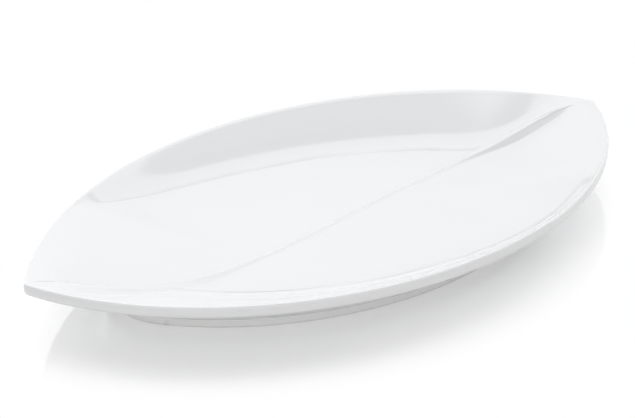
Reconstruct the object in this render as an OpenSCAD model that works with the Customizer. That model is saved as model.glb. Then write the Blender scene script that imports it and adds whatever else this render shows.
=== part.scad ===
// Leaf shaped porcelain plate: a glazed leaf with a curved midrib on a bare foot ring with round ends.
// X runs from tip to tip, Z is up, and the origin lies on the table under the middle of the leaf.
// Half a turn about Z brings the plate back onto itself: each leaf half is raised at one tip,
// falls to a low floor, and is closed there by a wall that grows wider towards the other tip.

/* [Leaf outline] */
// Length from tip to tip, glaze included
plate_length = 360; // [260:1:460]
// Width across the middle
plate_width = 232; // [180:1:290]
// Radius that rounds each tip in plan
tip_radius = 5; // [4:0.5:9]

/* [Heights] */
// Height of the rim above the table
rim_height = 30.5; // [26:0.5:40]
// Clear height under the middle of the floor, glaze left out
base_clearance = 3.8; // [2.5:0.1:5]

/* [Midrib] */
// Sway of the midrib to each side of the long axis
rib_sway = 15; // [6:0.1:16]
// Height of the ridge along the midrib, over the floor beside it
ridge_height = 1.2; // [0.6:0.1:1.8]
// Further drop from the ridge to the low half near each tip
ridge_drop = 1.8; // [0.5:0.1:3]
// Further step from the ridge down to the raised half near each tip
ridge_step = 2.8; // [1:0.1:4]
// Width of the ridge's flank in the middle of the leaf
ridge_flank = 3.6; // [3:0.1:6]
// Further width of the flank on the low half near each tip
ridge_spread = 6; // [4:0.1:10]
// Further width of the flank on the raised half near each tip
ridge_shoulder = 14.4; // [8:0.1:18]

/* [Wall] */
// Width that the wall grows to at its broad end
wall_width = 54; // [40:1:64]
// Turn along the rim, from the middle, at which the wall starts, in degrees
wall_start_angle = 37; // [32:1:42]
// Turn along the rim over which the wall widens, in degrees
wall_spread_angle = 35; // [28:1:45]
// Turn along the rim over which the raised half falls to the floor, in degrees
fall_angle = 6; // [4:0.5:9]
// Width of the hollow curve at the foot of the wall
fillet_width = 16; // [10:0.5:22]
// Width of the floor strip that the wall leaves beside the midrib
strip_width = 5; // [3:0.5:10]

/* [Body] */
// Thickness of the floor at the midrib
floor_thickness = 3.7; // [3:0.1:5.5]
// Upright thickness of the wall
wall_thickness = 5; // [4:0.1:6.5]
// Height of the rounded edge of the rim
edge_height = 5.8; // [4:0.1:6.5]
// Width of the level lip inside the edge
lip_width = 1.3; // [1:0.1:2.5]

/* [Foot ring] */
// Distance from the rim in to the foot ring's outer wall
foot_inset = 33.5; // [28:0.5:40]
// Width of the bare bearing edge
foot_width = 5; // [3:0.5:8]
// Height of the foot ring
foot_height = 6; // [4.5:0.5:7]
// Radius that rounds the ends of the foot ring in plan
foot_tip_radius = 40; // [25:1:44]
// Flat land on the underside beside each wall of the foot ring
foot_land = 1.5; // [1:0.5:3]
// Distance over which the underside eases from the land to an even thickness
foot_ease = 10; // [7:1:16]

/* [Glaze] */
// Thickness of the glaze
glaze_thickness = 0.3; // [0.2:0.05:0.5]

/* [Hidden] */
$fn = 96;

// Rim arcs: one circle for each side, each centred across the long axis, and a circle at each tip
half_length = plate_length / 2;
half_width = plate_width / 2;
tip_centre = half_length - tip_radius;
arc_radius = (tip_centre ^ 2 + half_width ^ 2 - tip_radius ^ 2) / (plate_width - 2 * tip_radius);
arc_offset = arc_radius - half_width;
tip_angle = atan2(tip_centre, arc_offset);

// Heights of the biscuit body, glaze left out
rim_level = rim_height - glaze_thickness;
valley_level = base_clearance + floor_thickness;
crest_level = valley_level + ridge_height;

// Shapes of the curves, as powers, turns and shares
sway_turns = 162;
hook_power = 20;
hook_share = 0.95;
rise_power = 2.65;
fall_power = 1.2;
floor_power = 1.5;
tip_power = 1.8;
flank_power = 1.2;
bead_power = 1.2;
limit_power = 12;
ease_turns = 25;
wall_ease_turns = 2.5;
floor_rise_share = 0.1;
drop_start_share = 0.35;
drop_full_share = 0.65;
step_start_share = 0.45;
step_full_share = 0.8;
even_share = 0.5;
ridge_end_share = 0.88;
low_end_share = 0.7;
low_fade_share = 0.75;
wall_most_share = 0.92;
fillet_start_share = 0.45;
fillet_most_share = 0.75;

// Stations along the midrib, rays round each tip, and rows along each ray as shares of their spans
stations = 50;
tip_rays = 3;
tip_crowd_share = 0.4;
tip_end_turns = 84;
ridge_shares = [0.3, 0.65, 1];
floor_shares = [0.3, 0.58, 0.82, 1];
wall_shares = [0.17, 0.36, 0.68, 1];
edge_shares = [[0.25, 0.12], [0, 0.45], [0.3, 0.95]];
under_shares = [0.2, 0.45, 0.75, 1];
base_shares = [0.86, 0.62, 0.3];
ridge_room_share = 0.25;
wall_room_share = 0.12;
well_room_share = 0.1;
lip_room_share = 0.3;

function smooth(u) = let (v = min(max(u, 0), 1)) v * v * (3 - 2 * v);
function mix(a, b, share) = a + (b - a) * share;

// Midrib: its station shares run from -1 to 1, and its sway and rise repeat after half a turn.
// Beside each tip it stays within the lines from the tip to the middles of the two rim circles.
function rib_share(i) =
    let (way = 2 * i / stations - 1)
    mix(tan(tip_angle * way) / tan(tip_angle), sin(90 * way), tip_crowd_share);
function rib_x(share) = tip_centre * share;
function rib_y(share) =
    let (way = min(abs(share), 1))
    sign(share) * min(
        rib_sway * sin(sway_turns * way) * (1 - way ^ hook_power),
        hook_share * arc_offset * (1 - way)
    );
function rib_z(share) = mix(crest_level, rim_level, smooth(abs(share) ^ rise_power));

// Ridge: how far each half lies below the crest beside the midrib, and how wide its flank is.
// A positive share is the low end of the half, and a negative one the raised end. The flank is a
// round bead in the middle and falls more evenly near the tips. On the low end it dies out early.
function tip_fade(share) =
    (1 - smooth((abs(share) - ridge_end_share) / (1 - ridge_end_share)))
        * (1 - low_fade_share * smooth((share - low_end_share) / (ridge_end_share - low_end_share)));
function drop_share(share) =
    smooth((share - drop_start_share) / (drop_full_share - drop_start_share));
function step_share(share) =
    smooth((-share - step_start_share) / (step_full_share - step_start_share));
function ridge_fall(share) =
    tip_fade(share)
        * (ridge_height + ridge_drop * drop_share(share) + ridge_step * step_share(share));
function ridge_span(share) =
    ridge_flank + ridge_spread * drop_share(share) + ridge_shoulder * step_share(share);
function ridge_curve(share, u) =
    let (
        even = 1 - min(u, 1),
        bead = mix(1 - smooth(u ^ bead_power), even, even_share * step_share(share))
    )
    mix(bead, even ^ flank_power, drop_share(share));
function valley_z(share) = rib_z(share) - ridge_fall(share);

// Wall: its width, by the turn along the rim from where it starts, and its curve up to the rim
function wall_turn(angle) =
    let (turn = angle + wall_start_angle)
    (turn + norm([turn, wall_ease_turns])) / 2;
function top_reach(ray) = ray[2] - glaze_thickness - min(lip_width, lip_room_share * ray[2]);
function wall_span(ray) =
    let (
        full = wall_width * (1 - exp(-wall_turn(ray[4]) / wall_spread_angle)),
        reach = top_reach(ray),
        most = reach - min(strip_width, (1 - wall_most_share) * reach)
    )
    full * most / (full ^ limit_power + most ^ limit_power) ^ (1 / limit_power);
function wall_curve(s, span) =
    let (
        fillet = min(fillet_width / span, fillet_most_share),
        end_share = (1 - fillet_start_share * fillet / 2) / (1 - fillet / 2),
        bent = min(s, fillet)
    )
    fillet_start_share * bent + (end_share - fillet_start_share) * bent * bent / (2 * fillet)
        + end_share * max(s - fillet, 0);
function panel_power(angle) =
    mix(tip_power, floor_power, smooth(wall_turn(angle) / ease_turns));

// A ray runs in plan from a point of the midrib square to the rim:
// [start, direction, length to the glazed rim, signed midrib share, turn along the rim]
function ray_at(share) =
    let (
        x = rib_x(share),
        y = rib_y(share) + arc_offset,
        reach = norm([x, y])
    )
    [[x, y - arc_offset], [x, y] / reach, arc_radius - reach, share, atan2(x, y)];
function far_ray(i) = ray_at(rib_share(i));
function near_ray(i) =
    let (ray = far_ray(stations - i))
    [-ray[0], -ray[1], ray[2], ray[3], ray[4]];
function tip_ray(k, way) =
    let (turn = mix(tip_angle, 180 - tip_angle, k / (tip_rays + 1)))
    [[way * tip_centre, 0], way * [sin(turn), cos(turn)], tip_radius, 1, tip_angle];

// All rays in one turn round the leaf, each with the number of the midrib point that it starts at
rays = [
    for (i = [stations : -1 : 0]) far_ray(i),
    for (k = [1 : tip_rays]) tip_ray(tip_rays + 1 - k, -1),
    for (i = [0 : stations]) near_ray(i),
    for (k = [1 : tip_rays]) tip_ray(tip_rays + 1 - k, 1)
];
starts = [
    for (i = [stations : -1 : 0]) i,
    for (k = [1 : tip_rays]) 0,
    for (i = [0 : stations]) i,
    for (k = [1 : tip_rays]) stations
];
ray_count = len(rays);
half_turn = ray_count / 2;

// Top of the body at a distance from the midrib along a ray. On the raised half the low line
// beside the midrib is followed lengthwise.
function top_z(ray, e) =
    let (
        share = ray[3],
        reach = top_reach(ray),
        span = wall_span(ray),
        well = reach - span,
        turn = wall_turn(ray[4]),
        place = share < 0 ? share + min(e, well) * sin(ray[4]) / tip_centre : share,
        low = valley_z(place),
        rise = 1 / (1 + (turn / fall_angle) ^ fall_power),
        well_z = mix(mix(low, rim_level, floor_rise_share), rim_level, rise),
        flank = min(ridge_span(share), reach),
        ridge = ridge_fall(place) * ridge_curve(share, e / flank)
    )
    ridge + (
        e < well
            ? mix(low, well_z, (e / well) ^ panel_power(ray[4]))
            : mix(well_z, rim_level, wall_curve(min((e - well) / span, 1), span))
    );

// Rows of a ray's upper profile as [distance from the midrib, height], from the crest out to the
// rim and round its edge
function top_row(ray, e) = [e, top_z(ray, e)];
function profile(ray) =
    let (
        rim = ray[2] - glaze_thickness,
        edge = top_reach(ray),
        lip = rim - edge,
        ridge = min(ridge_span(ray[3]), ridge_room_share * rim),
        wall = max(wall_span(ray), wall_room_share * rim),
        well = max(edge - wall, ridge + well_room_share * (edge - ridge))
    )
    [
        [0, rib_z(ray[3])],
        for (s = ridge_shares) top_row(ray, ridge * s),
        for (s = floor_shares) top_row(ray, mix(ridge, well, s)),
        for (s = wall_shares) top_row(ray, mix(well, edge, s)),
        for (s = edge_shares) [rim - lip * s[0], rim_level - edge_height * s[1]]
    ];
profiles = [for (ray = rays) profile(ray)];
first_loop = len(profiles[0]);

// Outward normal of an upper profile at a row, upright on the midrib
function row_normal(rows, j) =
    j == 0 ? [0, 1]
    : let (along = rows[min(j + 1, first_loop - 1)] - rows[j - 1]) [-along.y, along.x] / norm(along);

// Top of the body over a place in plan, by the ray that passes there
share_by_angle = [for (i = [0 : stations]) let (ray = far_ray(i)) [ray[4], ray[3]]];
function far_top(at) =
    let (ray = ray_at(lookup(atan2(at.x, at.y + arc_offset), share_by_angle)))
    top_z(ray, max(norm([at.x, at.y + arc_offset]) - arc_radius + ray[2], 0));
function top_at(at) = at.y < rib_y(at.x / tip_centre) ? far_top(-at) : far_top(at);

// Loops on the underside, one point for each ray. The foot ring seats on a flat land between two
// loops that follow it, the glazed underside runs from the rim to the outer one, and the floor
// inside the ring is closed by loops that shrink to the middle.
foot_end = sqrt((arc_radius - foot_inset - foot_tip_radius) ^ 2 - arc_offset ^ 2);
foot_turn = atan2(foot_end, arc_offset);
function ring_turn(m) =
    let (k = m % half_turn - stations, turn = rays[m][4], room = tip_angle - foot_turn)
    k > 0 ? -mix(tip_end_turns, 180 - tip_end_turns, k / (tip_rays + 1))
    : abs(turn) <= foot_turn ? turn
    : sign(turn) * mix(foot_turn, tip_end_turns, (abs(turn) - foot_turn) / room);
function ring_point(m, grow) =
    let (
        turn = ring_turn(m),
        at_end = abs(turn) > foot_turn,
        centre = at_end ? [sign(turn) * foot_end, 0] : [0, -arc_offset],
        radius = at_end ? foot_tip_radius : arc_radius - foot_inset,
        at = centre + (radius + grow) * [sin(turn), cos(turn)]
    )
    m < half_turn ? at : -at;
outer_land = [for (m = [0 : ray_count - 1]) ring_point(m, foot_land)];
inner_land = [for (m = [0 : ray_count - 1]) ring_point(m, -foot_width - foot_land)];
coat_end = first_loop + len(under_shares) - 1;
base_start = coat_end + 1;
last_row = base_start + len(base_shares);

// Underside of the body: an even thickness under the walls and under the midrib, eased to the land
function base_z(x) =
    let (share = x / tip_centre) min(valley_z(share), valley_z(-share)) - floor_thickness;
function outer_point(m, s) =
    let (
        start = rays[m][0] + top_reach(rays[m]) * rays[m][1],
        at = mix(start, outer_land[m], s),
        way = norm(outer_land[m] - at)
    )
    [at.x, at.y, mix(foot_height, top_at(at) - wall_thickness, smooth(way / foot_ease))];
function inner_point(m, s) =
    let (at = s * inner_land[m], way = norm(inner_land[m] - at))
    [at.x, at.y, mix(foot_height, base_z(at.x), smooth(way / foot_ease))];
function loop_point(m, j) =
    j <= coat_end ? outer_point(m, under_shares[j - first_loop])
    : inner_point(m, j == base_start ? 1 : base_shares[j - base_start - 1]);

// Points of one row of the body, or of the glaze over it: a line along the midrib, or a loop
function upper_point(m, j, coat) =
    let (
        ray = rays[m],
        row = profiles[m][j] + coat * row_normal(profiles[m], j),
        at = ray[0] + row.x * ray[1]
    )
    [at.x, at.y, row.y];
function row_size(j) = j == 0 ? stations + 1 : ray_count;
function row_points(j, coat) =
    [
        for (m = [0 : row_size(j) - 1])
            j == 0 ? upper_point(stations - m, j, coat)
            : j < first_loop ? upper_point(m, j, coat)
            : loop_point(m, j) - [0, 0, coat]
    ];
function row_index(j, m) = j == 0 ? starts[m] : m;

// Triangles between two rows, and across the last loop, whose points start at the given places
function pair(a, b, c, d) = [if (a != b) [a, b, c], if (c != d) [a, c, d]];
function strip(j, at_j, k, at_k) =
    [
        for (m = [0 : ray_count - 1])
            let (n = (m + 1) % ray_count)
            each pair(
                at_j + row_index(j, m),
                at_j + row_index(j, n),
                at_k + row_index(k, n),
                at_k + row_index(k, m)
            )
    ];
function across(at) =
    [
        for (m = [0 : stations - 1])
            let (n = half_turn + stations - m)
            each pair(at + m, at + m + 1, at + n - 1, at + n),
        for (end = [stations, half_turn + stations], k = [1 : tip_rays])
            [at + end, at + end + k, at + (end + k + 1) % ray_count]
    ];
function row_places(from, to, at) =
    [for (j = from, p = at; j <= to; p = p + row_size(j), j = j + 1) p];
function points_of(from, to, coat) = [for (j = [from : to]) each row_points(j, coat)];
function faces_of(from, to, at) =
    let (places = row_places(from, to, at))
    [
        for (j = [from : to - 1]) each strip(j, places[j - from], j + 1, places[j - from + 1]),
        if (to == last_row) each across(places[to - from])
    ];
function turned(faces) = [for (f = faces) [f[0], f[2], f[1]]];

// Skin of even thickness over a stretch of rows, closed along its one open row
module glaze_over(from, to, open_row) {
    outer = points_of(from, to, glaze_thickness);
    count = len(outer);
    open_place = row_places(from, to, 0)[open_row - from];
    closing = strip(open_row, open_place, open_row, count + open_place);
    polyhedron(
        concat(outer, points_of(from, to, 0)),
        concat(
            faces_of(from, to, 0),
            turned(faces_of(from, to, count)),
            open_row == to ? closing : turned(closing)
        ),
        convexity = 6
    );
}

// Leaf in plan: two arcs that share the rim's centres, set in from the rim, with rounded ends
module leaf_plan(inset, end_radius) {
    r = arc_radius - inset;
    end = sqrt((r - end_radius) ^ 2 - arc_offset ^ 2);
    touch = r * end / (r - end_radius);
    intersection() {
        translate([0, -arc_offset]) circle(r);
        translate([0, arc_offset]) circle(r);
        square([2 * touch, plate_width], center = true);
    }
    for (way = [-1, 1]) translate([way * end, 0]) circle(end_radius);
}

// Fired leaf: two halves that meet at the midrib, the walls, the rim and the underside
module porcelain_body() {
    color("#efece4") polyhedron(points_of(0, last_row, 0), faces_of(0, last_row, 0), convexity = 6);
}

// Foot that the plate stands on, wiped bare of glaze and ground flat
module foot_ring() {
    color("#e6e0d2")
        linear_extrude(foot_height)
            difference() {
                leaf_plan(foot_inset, foot_tip_radius);
                leaf_plan(foot_inset + foot_width, foot_tip_radius - foot_width);
            }
}

// Glass skin over the top, round the rim and over the underside to the land of the foot ring
module glaze_coat() {
    color("#fafbfb") glaze_over(0, coat_end, coat_end);
}

// Patch of the same glass inside the foot ring
module base_glaze() {
    color("#f7f9f8") glaze_over(base_start, last_row, base_start);
}

porcelain_body();
foot_ring();
glaze_coat();
base_glaze();
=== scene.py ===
import math

import bpy
import numpy as np
from mathutils import Matrix, Vector


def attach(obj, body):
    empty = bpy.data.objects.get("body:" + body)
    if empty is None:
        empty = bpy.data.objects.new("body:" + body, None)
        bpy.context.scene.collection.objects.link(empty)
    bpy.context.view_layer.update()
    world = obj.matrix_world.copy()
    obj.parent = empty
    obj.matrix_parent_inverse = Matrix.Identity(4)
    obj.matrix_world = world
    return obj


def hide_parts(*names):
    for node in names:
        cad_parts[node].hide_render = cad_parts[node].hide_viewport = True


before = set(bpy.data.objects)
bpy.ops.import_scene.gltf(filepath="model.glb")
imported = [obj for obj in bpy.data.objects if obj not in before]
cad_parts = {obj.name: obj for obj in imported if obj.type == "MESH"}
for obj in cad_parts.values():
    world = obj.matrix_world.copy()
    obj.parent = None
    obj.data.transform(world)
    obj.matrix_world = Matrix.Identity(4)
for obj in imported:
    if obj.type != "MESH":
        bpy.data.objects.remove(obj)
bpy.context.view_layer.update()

# The leaf: one sheet of white porcelain clay, pressed over a mould and fired to a matt biscuit.
# Its two halves meet at a curved midrib. Each half falls from a raised tip to a low floor, and a
# wall that grows wider towards the other tip closes the floor up to one level, rounded rim.
mm = 0.001
glaze = 0.3
leaf_length = 360.0
leaf_width = 232.0
leaf_height = 30.5
tip_radius = 5.0
rim_level = leaf_height - glaze
tip_centre = leaf_length / 2 - tip_radius
arc_radius = ((tip_centre ** 2 + leaf_width ** 2 / 4 - tip_radius ** 2)
              / (leaf_width - 2 * tip_radius))
arc_offset = arc_radius - leaf_width / 2
tip_angle = math.degrees(math.atan2(tip_centre, arc_offset))


def ease(u):
    """A smooth step from 0 to 1."""
    u = min(max(u, 0.0), 1.0)
    return u * u * (3 - 2 * u)


def blend(a, b, share):
    return a + (b - a) * share


def steps(a, b, count):
    return [blend(a, b, k / count) for k in range(count)]


def facing(turn):
    return Vector((math.sin(math.radians(turn)), math.cos(math.radians(turn))))


# Shares along the midrib run from -1 at the raised tip of a leaf half to 1 at its low tip
crest_level = 8.7
rise_power = 2.65
rib_sway, rib_turn = 15.0, 162.0
rib_end_power, rib_most_share = 20, 0.95
low_start_share, low_spread_share = 0.35, 0.3
raised_start_share, raised_spread_share = 0.55, 0.25
ridge_height, ridge_drop, ridge_step = 1.0, 2.0, 3.0
ridge_end_share, ridge_end_spread_share = 0.87, 0.12
ridge_low_end_share, ridge_low_spread_share = 0.7, 0.2
flank_width, flank_spread, flank_shoulder = 3.6, 6.0, 14.6


def rib_y(share):
    way = min(abs(share), 1.0)
    sway = rib_sway * math.sin(math.radians(rib_turn) * way) * (1 - way ** rib_end_power)
    return math.copysign(min(sway, rib_most_share * arc_offset * (1 - way)), share)


def rib_z(share):
    return blend(crest_level, rim_level, ease(min(abs(share), 1.0) ** rise_power))


def low_end(share):
    return ease((share - low_start_share) / low_spread_share)


def raised_end(share):
    return ease((-share - raised_start_share) / raised_spread_share)


def ridge_fall(share):
    """How far the leaf half lies below the crest of the midrib."""
    fade = 1 - ease((abs(share) - ridge_end_share) / ridge_end_spread_share)
    fade *= 1 - ease((share - ridge_low_end_share) / ridge_low_spread_share)
    return fade * (ridge_height + ridge_drop * low_end(share) + ridge_step * raised_end(share))


def flank(share):
    """Width of the hollow flank between the crest and the leaf half."""
    return flank_width + flank_spread * low_end(share) + flank_shoulder * raised_end(share)


def valley_z(share, highest=rim_level):
    return min(rib_z(share), highest) - ridge_fall(share)


wall_width = 54.0
wall_start_angle, wall_spread_angle, wall_ease_angle = 37.0, 35.0, 2.5
strip_width, strip_share = 5.0, 0.08
strip_power = 12
fillet_width = 16.0
fillet_start_share, fillet_most_share = 0.45, 0.75


def wall_turn(angle):
    """How far round a ray is from where the wall starts."""
    turn = angle + wall_start_angle
    return (turn + math.hypot(turn, wall_ease_angle)) / 2


def wall_span(angle, reach):
    """Width of the wall: it starts from nothing, widens, and leaves a strip by the midrib."""
    full = wall_width * (1 - math.exp(-wall_turn(angle) / wall_spread_angle))
    most = reach - min(strip_width, strip_share * reach)
    return full * most / (full ** strip_power + most ** strip_power) ** (1 / strip_power)


def wall_curve(s, span):
    """Rise of the wall, as a share, from a hollow at its foot to an even slope."""
    fillet = min(fillet_width / span, fillet_most_share)
    last = (1 - fillet_start_share * fillet / 2) / (1 - fillet / 2)
    bent = min(s, fillet)
    hollow = fillet_start_share * bent + (last - fillet_start_share) * bent * bent / (2 * fillet)
    return hollow + last * max(s - fillet, 0)


flank_power, flank_end_power = 2.1, 1.2
flank_power_share, flank_power_spread_share = 0.2, 0.3
floor_rise_share = 0.1
floor_power, tip_power = 1.5, 1.8
floor_ease_angle = 25.0
fall_angle, fall_power = 6.0, 1.2
crease_depth, crease_reach = 0.5, 1.5
crease_start_width, crease_spread_width = 3.0, 14.0


def leaf_top(ray, e):
    """Height of the leaf at a distance from the midrib along a ray."""
    share, top, span = ray["share"], ray["top"], ray["span"]
    well = ray["reach"] - span
    turn = wall_turn(ray["angle"])
    local = share
    if share < 0:
        local += min(e, well) * math.sin(math.radians(ray["angle"])) / tip_centre
    low = valley_z(local, top)
    fall = 1 / (1 + (turn / fall_angle) ** fall_power)
    well_z = blend(blend(low, top, floor_rise_share), top, fall)
    u = min(e / min(flank(share), ray["reach"]), 1.0)
    towards_end = ease((abs(share) - flank_power_share) / flank_power_spread_share)
    z = ridge_fall(local) * (1 - u) ** blend(flank_power, flank_end_power, towards_end)
    if e < well:
        power = blend(tip_power, floor_power, ease(turn / floor_ease_angle))
        z += blend(low, well_z, (e / well) ** power)
    else:
        z += blend(well_z, top, wall_curve(min((e - well) / span, 1.0), span))
    crease = crease_depth * ease((span - crease_start_width) / crease_spread_width)
    return z - crease * (1 - ease(abs(e - well) / crease_reach))


edge_height = 5.2
lip_depth, lip_share = 1.0, 0.3
trial_lip_share, trial_drop = 1.3, 0.15
slope_from, slope_to = 1.0, 0.1
least_slope, least_slope_length = 0.05, 6.0


def set_out(start, way, length, share, angle, ring):
    """A ray in plan from the midrib square to the rim, where the top meets the round of the lip."""
    ray = {"start": start, "way": way, "length": length}
    ray.update(share=share, angle=angle, ring=ring)
    lip = min(lip_depth, lip_share * length)
    ray["lip"] = lip
    ray["reach"], ray["top"] = length - trial_lip_share * lip, rim_level - trial_drop
    ray["span"] = wall_span(angle, ray["reach"])
    slope = least_slope
    if length > least_slope_length:
        near, far = ray["reach"] - slope_from, ray["reach"] - slope_to
        slope = max(slope, (leaf_top(ray, far) - leaf_top(ray, near)) / (far - near))
    ray["join"] = math.pi / 2 + math.atan(slope * lip / (edge_height / 2))
    ray["reach"] = length - lip * (1 - math.cos(ray["join"]))
    ray["top"] = rim_level - edge_height / 2 * (1 - math.sin(ray["join"]))
    ray["span"] = wall_span(angle, ray["reach"])
    return ray


# The underside meets the foot's ring, so the ring is set out here
foot_inset = 33.5
foot_width = 5.0
foot_height = 6.0
foot_end_radius = 40.0
foot_land = 1.5
foot_ease = 10.0
foot_tip_turn = 84.0
foot_end = math.sqrt((arc_radius - foot_inset - foot_end_radius) ** 2 - arc_offset ** 2)
foot_turn = math.degrees(math.atan2(foot_end, arc_offset))
stations, tip_rays = 150, 8
even_share = 0.4


def far_ray(share):
    """A ray of the far half, from a place on the midrib."""
    start = Vector((tip_centre * share, rib_y(share)))
    out = start + Vector((0, arc_offset))
    angle = math.degrees(math.atan2(out.x, out.y))
    ring = angle
    if abs(angle) > foot_turn:
        past = (abs(angle) - foot_turn) / (tip_angle - foot_turn)
        ring = math.copysign(blend(foot_turn, foot_tip_turn, past), angle)
    length = arc_radius - out.length - glaze
    return set_out(start, out.normalized(), length, share, angle, facing(ring))


def tip_ray(k):
    """A ray of the fan that goes round the tip."""
    share = k / (tip_rays + 1)
    start = Vector((tip_centre, 0))
    way = facing(blend(180 - tip_angle, tip_angle, share))
    ring = facing(blend(180 - foot_tip_turn, foot_tip_turn, share))
    return set_out(start, way, tip_radius - glaze, 1.0, tip_angle, ring)


def half_turn(ray):
    return dict(ray, start=-ray["start"], way=-ray["way"], ring=-ray["ring"])


ways = [2 * i / stations - 1 for i in range(stations, -1, -1)]
tip_slope = math.tan(math.radians(tip_angle))
shares = [blend(math.tan(math.radians(tip_angle * way)) / tip_slope,
                math.sin(math.pi / 2 * way), even_share) for way in ways]
half = [far_ray(share) for share in shares]
tip = [tip_ray(k) for k in range(1, tip_rays + 1)]
rays = half + [half_turn(ray) for ray in tip] + [half_turn(ray) for ray in half] + tip
rays.append(rays[0])
angles_up = [ray["angle"] for ray in reversed(half)]
shares_up = [ray["share"] for ray in reversed(half)]


def top_at(at):
    """Height of the leaf over a place in plan."""
    if at.y < rib_y(at.x / tip_centre):
        at = -at
    out = at + Vector((0, arc_offset))
    angle = math.degrees(math.atan2(out.x, out.y))
    ray = far_ray(float(np.interp(angle, angles_up, shares_up)))
    return leaf_top(ray, max(out.length - arc_radius + glaze + ray["length"], 0.0))


def ring_place(way, grow):
    """A place on the foot's outer wall, by the way that it faces, or a distance outside it."""
    if abs(way.y) >= math.cos(math.radians(foot_turn)):
        centre = Vector((0, -math.copysign(arc_offset, way.y)))
        return centre + (arc_radius - foot_inset + grow) * way
    return Vector((math.copysign(foot_end, way.x), 0)) + (foot_end_radius + grow) * way


wall_thickness = 5.0
floor_thickness = 3.7


def base_z(x):
    share = x / tip_centre
    return min(valley_z(share), valley_z(-share)) - floor_thickness


ridge_rows, floor_rows, crease_rows, wall_rows = 14, 18, 8, 22
lip_rows, under_rows, base_rows = 16, 18, 18
lip_row = ridge_rows + floor_rows + crease_rows + wall_rows
ridge_reach_share, ridge_most_share = 1.15, 0.25
wall_row_share, floor_row_share, crease_row_share = 0.14, 0.3, 0.2
base_row_power = 1.5


def leaf_profile(ray):
    """Places down one ray: over the top from the midrib, round the lip, and back underneath."""
    length, lip, reach = ray["length"], ray["lip"], ray["reach"]
    start, way = ray["start"], ray["way"]
    ridge = min(ridge_reach_share * flank(ray["share"]), ridge_most_share * length)
    wall = math.hypot(ray["span"], wall_row_share * length)
    well = max(reach - wall, ridge + floor_row_share * (reach - ridge))
    nick = min(crease_reach, crease_row_share * (reach - well), crease_row_share * (well - ridge))
    top_rows = steps(0, ridge, ridge_rows) + steps(ridge, well - nick, floor_rows)
    top_rows += steps(well - nick, well + nick, crease_rows) + steps(well + nick, reach, wall_rows)
    rows = [(start + e * way, leaf_top(ray, e)) for e in top_rows]
    for turn in steps(ray["join"], -math.pi / 2, lip_rows) + [-math.pi / 2]:
        e = length - lip * (1 - math.cos(turn))
        rows.append((start + e * way, rim_level - edge_height / 2 * (1 - math.sin(turn))))
    lip_place = start + (length - lip) * way
    outer_land = ring_place(ray["ring"], foot_land)
    for s in steps(0, 1, under_rows)[1:] + [1]:
        at = lip_place.lerp(outer_land, s)
        clear = ease((outer_land - at).length / foot_ease)
        rows.append((at, blend(foot_height, top_at(at) - wall_thickness, clear)))
    inner_land = ring_place(ray["ring"], -foot_width - foot_land)
    for k in range(base_rows + 1):
        at = inner_land * (1 - (k / base_rows) ** base_row_power)
        clear = ease((inner_land - at).length / foot_ease)
        rows.append((at, blend(foot_height, base_z(at.x), clear)))
    return rows


# Painted shade: a thin grey line along the crease at the foot of the wall, with a cool pooled-glaze
# tint, and a grey band of painted shade round the lip and the rim's edge
shade_line_reach = 1.4
shade_line_blunt, shade_line_blunt_angle, shade_line_straight_angle = 4.0, 1.6, 8.0
shade_line_first_angle = 2.05
shade_line_end_width, shade_line_end_spread = 4.0, 7.0
# Rows that get the painted shade round the lip and the rim's edge
edge_shade_first_row, edge_shade_last_row = lip_row + 2, lip_row + 22
edge_shade_start_rows, edge_shade_end_rows = 4, 8


def shade_line_place(ray):
    """How far from the midrib the painted shade line runs, with a blunt corner where the line
    starts.
    """
    turn = wall_turn(ray["angle"])
    blunt = shade_line_blunt * (1 - math.exp(-turn / shade_line_blunt_angle))
    return ray["reach"] - ray["span"] - blunt * math.exp(-(turn / shade_line_straight_angle) ** 2)


def shade_line_share(ray, at):
    """Share of painted crease shade at a place on a ray. The first ray of the line has it up to the
    rim.
    """
    turn = wall_turn(ray["angle"])
    if turn < shade_line_start:
        return 0.0
    line = shade_line_place(ray)
    aside = (at - ray["start"]).length - line
    if turn == shade_line_start:
        aside = min(aside, 0.0)
    return ease((line - shade_line_end_width) / shade_line_end_spread) * (1 - ease(abs(aside) / shade_line_reach))


# Share of the painted shade round the lip and the rim's edge, by row
def edge_shade_share(row):
    fade_in = ease((row - edge_shade_first_row) / edge_shade_start_rows)
    return fade_in * ease((edge_shade_last_row - row) / edge_shade_end_rows)


ray_turns = [wall_turn(ray["angle"]) for ray in half]
shade_line_start = min(turn for turn in ray_turns if turn > shade_line_first_angle)
profiles = [leaf_profile(ray) for ray in rays]
ray_gaps, row_gaps = len(rays) - 1, len(profiles[0]) - 1
merge_gap = 0.02

bpy.ops.object.select_all(action="DESELECT")
bpy.ops.mesh.primitive_grid_add(x_subdivisions=ray_gaps, y_subdivisions=row_gaps, size=2)
leaf = bpy.context.object
leaf.name = "biscuit_leaf"
leaf.data.attributes.new("leaf_row", "INT", "POINT")
# Painted shade: a grey line along the crease at the wall's foot, with a cool pooled-glaze tint
leaf.data.attributes.new("crease_shade_line", "FLOAT", "POINT")
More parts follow.
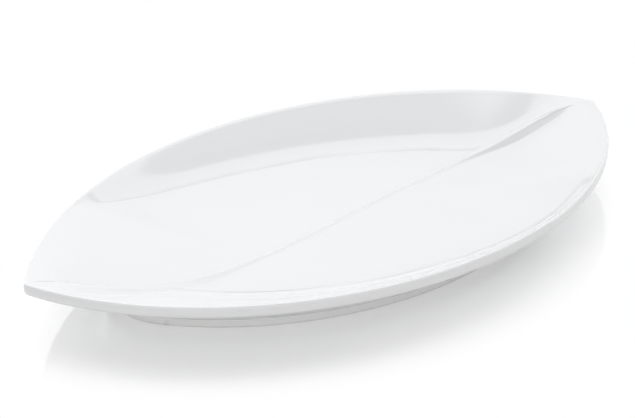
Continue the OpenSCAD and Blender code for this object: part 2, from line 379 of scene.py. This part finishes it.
# Painted shade: a grey band round the lip and the rim's edge
leaf.data.attributes.new("painted_edge_shade", "FLOAT", "POINT")
leaf_row = leaf.data.attributes["leaf_row"]
shade_line_attribute = leaf.data.attributes["crease_shade_line"]
edge_shade_attribute = leaf.data.attributes["painted_edge_shade"]
for vertex in leaf.data.vertices:
    i = round((vertex.co.x + 1) / 2 * ray_gaps)
    j = round((vertex.co.y + 1) / 2 * row_gaps)
    at, z = profiles[i][j]
    vertex.co = (at.x * mm, at.y * mm, z * mm)
    leaf_row.data[vertex.index].value = j
    edge_shade_attribute.data[vertex.index].value = edge_shade_share(j)
    # Painted crease shade, on the top rows only
    if j < lip_row:
        shade_line_attribute.data[vertex.index].value = shade_line_share(rays[i], at)
bpy.ops.object.mode_set(mode="EDIT")
bpy.ops.mesh.select_all(action="SELECT")
bpy.ops.mesh.remove_doubles(threshold=merge_gap * mm)
bpy.ops.mesh.normals_make_consistent(inside=False)
bpy.ops.object.mode_set(mode="OBJECT")
bpy.ops.object.shade_smooth()


def new_finish(name, roughness):
    """A new material with its shader, and the place on the piece that its patterns read."""
    finish = bpy.data.materials.new(name)
    finish.use_nodes = True
    shader = finish.node_tree.nodes["Principled BSDF"]
    shader.inputs["Roughness"].default_value = roughness
    place = finish.node_tree.nodes.new("ShaderNodeTexCoord").outputs["Object"]
    return finish, shader, place


def add_noise(finish, place, scale, detail, low=0, high=1):
    """Cloudy noise over the piece, spread from a low to a high value."""
    nodes, links = finish.node_tree.nodes, finish.node_tree.links
    noise = nodes.new("ShaderNodeTexNoise")
    noise.inputs["Scale"].default_value = scale
    noise.inputs["Detail"].default_value = detail
    links.new(place, noise.inputs["Vector"])
    spread = nodes.new("ShaderNodeMapRange")
    spread.inputs["From Min"].default_value = 0.3
    spread.inputs["From Max"].default_value = 0.7
    spread.inputs["To Min"].default_value = low
    spread.inputs["To Max"].default_value = high
    links.new(noise.outputs["Fac"], spread.inputs["Value"])
    return spread.outputs["Result"]


def mix_tones(finish, share, tone_a, tone_b):
    """A colour between two tones, each a fixed colour or the output of another mix."""
    nodes, links = finish.node_tree.nodes, finish.node_tree.links
    mix = nodes.new("ShaderNodeMix")
    mix.data_type = "RGBA"
    links.new(share, mix.inputs["Factor"])
    for socket, tone in ((mix.inputs["A"], tone_a), (mix.inputs["B"], tone_b)):
        if isinstance(tone, tuple):
            socket.default_value = (*tone, 1)
        else:
            links.new(tone, socket)
    return mix.outputs["Result"]


def add_bump(finish, shader, height, depth):
    """Relief of a true depth in millimetres."""
    nodes, links = finish.node_tree.nodes, finish.node_tree.links
    bump = nodes.new("ShaderNodeBump")
    bump.inputs["Strength"].default_value = 1
    bump.inputs["Distance"].default_value = depth * mm
    links.new(height, bump.inputs["Height"])
    links.new(bump.outputs["Normal"], shader.inputs["Normal"])


biscuit_pale = (0.83, 0.81, 0.77)
biscuit_warm = (0.79, 0.77, 0.725)
biscuit_speck = (0.75, 0.73, 0.69)
biscuit, shader, place = new_finish("biscuit", roughness=0.75)
grain = add_noise(biscuit, place, scale=1500, detail=4)
clouds = add_noise(biscuit, place, scale=40, detail=3)
body_tone = mix_tones(biscuit, clouds, biscuit_pale, biscuit_warm)
biscuit_tone = mix_tones(biscuit, grain, body_tone, biscuit_speck)
biscuit.node_tree.links.new(biscuit_tone, shader.inputs["Base Color"])
add_bump(biscuit, shader, grain, depth=0.06)
leaf.data.materials.clear()
leaf.data.materials.append(biscuit)
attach(leaf, "root")
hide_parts("porcelain_body")

# The foot: a low ring with round ends, luted under the leaf while the clay is soft. Its walls stay
# white, and its bearing edge is wiped bare of glaze and ground flat, so that the plate stands firm.
ring_points = 240
foot_edge = 0.6
edge_segments = 4
across_share = 0.8
sharp_angle = 40
bpy.ops.object.select_all(action="DESELECT")
bpy.ops.mesh.primitive_circle_add(vertices=ring_points, radius=0.1, fill_type="NOTHING")
foot = bpy.context.object
foot.name = "bare_foot"
for vertex in foot.data.vertices:
    at = ring_place(vertex.co.xy.normalized(), 0)
    vertex.co = (at.x * mm, at.y * mm, 0)
bpy.ops.object.mode_set(mode="EDIT")
bpy.ops.mesh.select_all(action="SELECT")
bpy.ops.mesh.extrude_region_move(TRANSFORM_OT_translate={"value": (0, 0, foot_height * mm)})
bpy.ops.mesh.select_all(action="SELECT")
bpy.ops.mesh.normals_make_consistent(inside=False)
bpy.ops.object.mode_set(mode="OBJECT")
ring_wall = foot.modifiers.new("ring_wall", "SOLIDIFY")
ring_wall.thickness = foot_width * mm
ring_wall.offset = -1
ring_wall.use_even_offset = True
bpy.ops.object.modifier_apply(modifier=ring_wall.name)
bpy.ops.object.mode_set(mode="EDIT")
bpy.ops.mesh.select_all(action="SELECT")
bpy.ops.mesh.normals_make_consistent(inside=False)
bpy.ops.mesh.select_all(action="DESELECT")
bpy.ops.object.mode_set(mode="OBJECT")
bpy.context.tool_settings.mesh_select_mode = (False, True, False)
for edge in foot.data.edges:
    a, b = (foot.data.vertices[v].co for v in edge.vertices)
    across = (a.xy - b.xy).length > across_share * foot_width * mm
    edge.select = max(a.z, b.z) < foot_edge * mm and not across
bpy.ops.object.mode_set(mode="EDIT")
bpy.ops.mesh.bevel(offset=foot_edge * mm, segments=edge_segments, affect="EDGES")
bpy.ops.object.mode_set(mode="OBJECT")
bpy.ops.object.shade_smooth_by_angle(angle=math.radians(sharp_angle))

foot_white = (0.95, 0.95, 0.95)
foot_grain = (0.93, 0.93, 0.925)
bare_pale = (0.86, 0.855, 0.84)
bare_dark = (0.77, 0.765, 0.75)
wiped_from_share, wiped_to_share = 1.4, 0.9
grinding_stretch = 0.12
ground_white, shader, place = new_finish("ground_white", roughness=0.5)
nodes, links = ground_white.node_tree.nodes, ground_white.node_tree.links
height = nodes.new("ShaderNodeSeparateXYZ")
links.new(place, height.inputs["Vector"])
wiped = nodes.new("ShaderNodeMapRange")
wiped.inputs["From Min"].default_value = wiped_from_share * foot_edge * mm
wiped.inputs["From Max"].default_value = wiped_to_share * foot_edge * mm
links.new(height.outputs["Z"], wiped.inputs["Value"])
grain = add_noise(ground_white, place, scale=1500, detail=4)
stretched = nodes.new("ShaderNodeMapping")
stretched.inputs["Scale"].default_value = (grinding_stretch, 1, 1)
links.new(place, stretched.inputs["Vector"])
grinding = add_noise(ground_white, stretched.outputs["Vector"], scale=2200, detail=2)
wall_tone = mix_tones(ground_white, grain, foot_white, foot_grain)
bare_tone = mix_tones(ground_white, grinding, bare_pale, bare_dark)
foot_tone = mix_tones(ground_white, wiped.outputs["Result"], wall_tone, bare_tone)
links.new(foot_tone, shader.inputs["Base Color"])
add_bump(ground_white, shader, grinding, depth=0.03)
foot.data.materials.clear()
foot.data.materials.append(ground_white)
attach(foot, "root")
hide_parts("foot_ring")

# The glaze coat: a thin skin of clear white glass that the leaf is dipped in and fired with again.
# It runs over the top, round the rim and over the underside, and ends at the land of the foot.
glass_pale = (0.853, 0.858, 0.870)
glass_cool = (0.843, 0.850, 0.864)
# Painted shade: the grey of the line along the crease, with a cool pooled-glaze tint
shade_line_grey = (0.66, 0.68, 0.71)
shade_line_strength = 0.6
# Painted shade: the grey of the band round the lip and the rim's edge
edge_shade_grey = (0.79, 0.79, 0.795)


def add_math(finish, operation, *values):
    """A sum on values, each a fixed number or the output of another node."""
    node = finish.node_tree.nodes.new("ShaderNodeMath")
    node.operation = operation
    for socket, value in zip(node.inputs, values):
        if isinstance(value, float):
            socket.default_value = value
        else:
            finish.node_tree.links.new(value, socket)
    return node.outputs["Value"]


white_glaze, shader, place = new_finish("white_glaze", roughness=0.06)
shader.inputs["IOR"].default_value = 1.5
nodes, links = white_glaze.node_tree.nodes, white_glaze.node_tree.links
clouds = add_noise(white_glaze, place, scale=14, detail=2)
glass_tone = mix_tones(white_glaze, clouds, glass_pale, glass_cool)
# Painted shade along the crease at the wall's foot, from its attribute
shade_line_node = nodes.new("ShaderNodeAttribute")
shade_line_node.attribute_name = "crease_shade_line"
shade_line_amount = add_math(white_glaze, "MULTIPLY", shade_line_node.outputs["Fac"], shade_line_strength)
shade_line_tone = mix_tones(white_glaze, shade_line_amount, glass_tone, shade_line_grey)
# Painted shade round the lip and the rim's edge, from its attribute
lip = nodes.new("ShaderNodeAttribute")
lip.attribute_name = "painted_edge_shade"
glaze_tone = mix_tones(white_glaze, lip.outputs["Fac"], shade_line_tone, edge_shade_grey)
links.new(glaze_tone, shader.inputs["Base Color"])
gloss = add_noise(white_glaze, place, scale=55, detail=2, low=0.045, high=0.085)
links.new(gloss, shader.inputs["Roughness"])
add_bump(white_glaze, shader, add_noise(white_glaze, place, scale=70, detail=1), depth=0.004)


def glaze_over(name, first, last):
    """A skin of glass over the leaf's faces between two rows, as a piece of its own."""
    bpy.ops.object.select_all(action="DESELECT")
    leaf.select_set(True)
    bpy.context.view_layer.objects.active = leaf
    bpy.context.tool_settings.mesh_select_mode = (False, False, True)
    bpy.ops.object.mode_set(mode="EDIT")
    bpy.ops.mesh.select_all(action="DESELECT")
    bpy.ops.object.mode_set(mode="OBJECT")
    row = leaf.data.attributes["leaf_row"].data
    for face in leaf.data.polygons:
        face.select = all(first <= row[v].value <= last for v in face.vertices)
    bpy.ops.object.mode_set(mode="EDIT")
    bpy.ops.mesh.duplicate()
    bpy.ops.mesh.separate(type="SELECTED")
    bpy.ops.object.mode_set(mode="OBJECT")
    leaf.select_set(False)
    skin = bpy.context.selected_objects[0]
    skin.name = name
    bpy.context.view_layer.objects.active = skin
    glass = skin.modifiers.new("glass", "SOLIDIFY")
    glass.thickness = glaze * mm
    glass.offset = 1
    bpy.ops.object.modifier_apply(modifier=glass.name)
    skin.data.materials.clear()
    skin.data.materials.append(white_glaze)
    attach(skin, "root")
    return skin


base_row = row_gaps - base_rows
coat = glaze_over("glaze_skin", 0, base_row - 1)
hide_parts("glaze_coat")

# The glaze inside the foot: a patch of the same glass over the hollow that the foot closes in.
# The bare bearing edge keeps it apart from the coat outside.
base_patch = glaze_over("base_glaze_patch", base_row, row_gaps)
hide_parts("base_glaze")

# The table top: a smooth white sheet that mirrors the plate a little, open under the foot and clear
# from below. It keeps the shadow and the mirror image round the plate, and farther out it goes over
# to plain white for the camera.
table_drop = 0.05
table_spread = 25
table_tone = (0.94, 0.94, 0.94, 1)
fade_start, fade_end = -6.0, 37.0
haze_strength = 0.16
bpy.ops.object.select_all(action="DESELECT")
bpy.ops.mesh.primitive_circle_add(vertices=ring_points, radius=0.1, fill_type="NOTHING",
                                  location=(0, 0, -table_drop * mm))
floor = bpy.context.object
floor.name = "floor"
for vertex in floor.data.vertices:
    at = ring_place(vertex.co.xy.normalized(), -foot_land)
    vertex.co = (at.x * mm, at.y * mm, 0)
bpy.context.tool_settings.mesh_select_mode = (True, False, False)
bpy.ops.object.mode_set(mode="EDIT")
bpy.ops.mesh.select_all(action="SELECT")
bpy.ops.mesh.extrude_region_move(TRANSFORM_OT_translate={"value": (0, 0, 0)})
bpy.ops.transform.resize(value=(table_spread, table_spread, 1))
bpy.ops.object.mode_set(mode="OBJECT")
if floor.data.polygons[0].normal.z < 0:
    bpy.ops.object.mode_set(mode="EDIT")
    bpy.ops.mesh.select_all(action="SELECT")
    bpy.ops.mesh.flip_normals()
    bpy.ops.object.mode_set(mode="OBJECT")

table_white, shader, place = new_finish("table_white", roughness=0.05)
shader.inputs["Base Color"].default_value = table_tone
shader.inputs["IOR"].default_value = 1.9
nodes, links = table_white.node_tree.nodes, table_white.node_tree.links
parts = nodes.new("ShaderNodeSeparateXYZ")
links.new(place, parts.inputs["Vector"])
beside = add_math(table_white, "ABSOLUTE", parts.outputs["Y"])
shifted = add_math(table_white, "ADD", beside, arc_offset * mm)
from_centre = nodes.new("ShaderNodeCombineXYZ")
links.new(parts.outputs["X"], from_centre.inputs["X"])
links.new(shifted, from_centre.inputs["Y"])
reach = nodes.new("ShaderNodeVectorMath")
reach.operation = "LENGTH"
links.new(from_centre.outputs["Vector"], reach.inputs[0])
fade = nodes.new("ShaderNodeMapRange")
fade.interpolation_type = "SMOOTHSTEP"
fade.inputs["From Min"].default_value = (arc_radius + fade_start) * mm
fade.inputs["From Max"].default_value = (arc_radius + fade_end) * mm
links.new(reach.outputs["Value"], fade.inputs["Value"])
looks = nodes.new("ShaderNodeLightPath")
by_camera = looks.outputs["Is Camera Ray"]
seen = add_math(table_white, "MAXIMUM", by_camera, looks.outputs["Is Glossy Ray"])
shown = add_math(table_white, "MULTIPLY", fade.outputs["Result"], seen)
plain_white = nodes.new("ShaderNodeEmission")
plain_white.inputs["Color"].default_value = (1, 1, 1, 1)
plain_white.inputs["Strength"].default_value = 1
haze = nodes.new("ShaderNodeEmission")
links.new(add_math(table_white, "MULTIPLY", by_camera, haze_strength), haze.inputs["Strength"])
pale = nodes.new("ShaderNodeAddShader")
links.new(shader.outputs["BSDF"], pale.inputs[0])
links.new(haze.outputs["Emission"], pale.inputs[1])
both = nodes.new("ShaderNodeMixShader")
links.new(shown, both.inputs["Fac"])
links.new(pale.outputs["Shader"], both.inputs[1])
links.new(plain_white.outputs["Emission"], both.inputs[2])
side = nodes.new("ShaderNodeNewGeometry")
clear = nodes.new("ShaderNodeBsdfTransparent")
one_way = nodes.new("ShaderNodeMixShader")
links.new(side.outputs["Backfacing"], one_way.inputs["Fac"])
links.new(both.outputs["Shader"], one_way.inputs[1])
links.new(clear.outputs["BSDF"], one_way.inputs[2])
links.new(one_way.outputs["Shader"], nodes["Material Output"].inputs["Surface"])
floor.data.materials.append(table_white)

# The camera: at the photograph's own place, above the plate and to its front left, turned a little
# about its own axis. The picture's sizes are in pixels, and the distance is in metres.
azimuth, elevation, roll = math.radians(-29.393), math.radians(26.201), math.radians(4.387)
focal, distance = 1397.75, 0.768881
picture_width, picture_height = 635, 418
plate_across, plate_down = 341.474, 232.840
sensor = 36
away = Vector((-math.sin(azimuth), math.cos(azimuth), 0))
across = Vector((math.cos(azimuth), math.sin(azimuth), 0))
upward = away * math.sin(elevation) + Vector((0, 0, math.cos(elevation)))
back = -away * math.cos(elevation) + Vector((0, 0, math.sin(elevation)))
right = across * math.cos(roll) - upward * math.sin(roll)
above = across * math.sin(roll) + upward * math.cos(roll)
pixel = distance / focal
stand = (-(plate_across - picture_width / 2) * pixel * right
         + (plate_down - picture_height / 2) * pixel * above + distance * back)
camera_data = bpy.data.cameras.new("camera")
camera_data.sensor_fit = "HORIZONTAL"
camera_data.sensor_width = sensor
camera_data.lens = focal / picture_width * sensor
camera_data.clip_start = 0.01
camera = bpy.data.objects.new("camera", camera_data)
bpy.context.scene.collection.objects.link(camera)
turned = Matrix((right, above, back)).transposed().to_4x4()
turned.translation = stand
camera.matrix_world = turned
bpy.context.scene.camera = camera

# The studio: a broad bright bank behind the plate, brightest where it ends overhead, and plain
# white walls and ceiling for the rest. The camera itself sees white behind the table.
bank_lean = 0.25
bank_stops = [(0.0, 1.5), (0.12, 0.88), (0.3, 0.53), (0.5, 0.57), (0.675, 0.57),
              (0.695, 2.5), (0.80, 2.25), (0.94, 1.33), (1.0, 0.8)]
brightest = max(light for _, light in bank_stops)
world = bpy.data.worlds.new("studio")
world.use_nodes = True
bpy.context.scene.world = world
nodes, links = world.node_tree.nodes, world.node_tree.links
direction = nodes.new("ShaderNodeTexCoord")
towards = nodes.new("ShaderNodeVectorMath")
towards.operation = "DOT_PRODUCT"
towards.inputs[1].default_value = away + bank_lean * across
links.new(direction.outputs["Generated"], towards.inputs[0])
span = nodes.new("ShaderNodeMapRange")
span.inputs["From Min"].default_value = -1
links.new(towards.outputs["Value"], span.inputs["Value"])
ramp = nodes.new("ShaderNodeValToRGB")
while len(ramp.color_ramp.elements) < len(bank_stops):
    ramp.color_ramp.elements.new(0.5)
for stop, (position, light) in zip(ramp.color_ramp.elements, bank_stops):
    stop.position = position
    level = light / brightest
    stop.color = (level, level, level, 1)
links.new(span.outputs["Result"], ramp.inputs["Fac"])
background = nodes["Background"]
background.inputs["Strength"].default_value = brightest
links.new(ramp.outputs["Color"], background.inputs["Color"])
looks = nodes.new("ShaderNodeLightPath")
paper = nodes.new("ShaderNodeBackground")
paper.inputs["Color"].default_value = (1, 1, 1, 1)
both = nodes.new("ShaderNodeMixShader")
links.new(looks.outputs["Is Camera Ray"], both.inputs["Fac"])
links.new(background.outputs["Background"], both.inputs[1])
links.new(paper.outputs["Background"], both.inputs[2])
links.new(both.outputs["Shader"], nodes["World Output"].inputs["Surface"])
bpy.context.scene.view_settings.view_transform = "Standard"
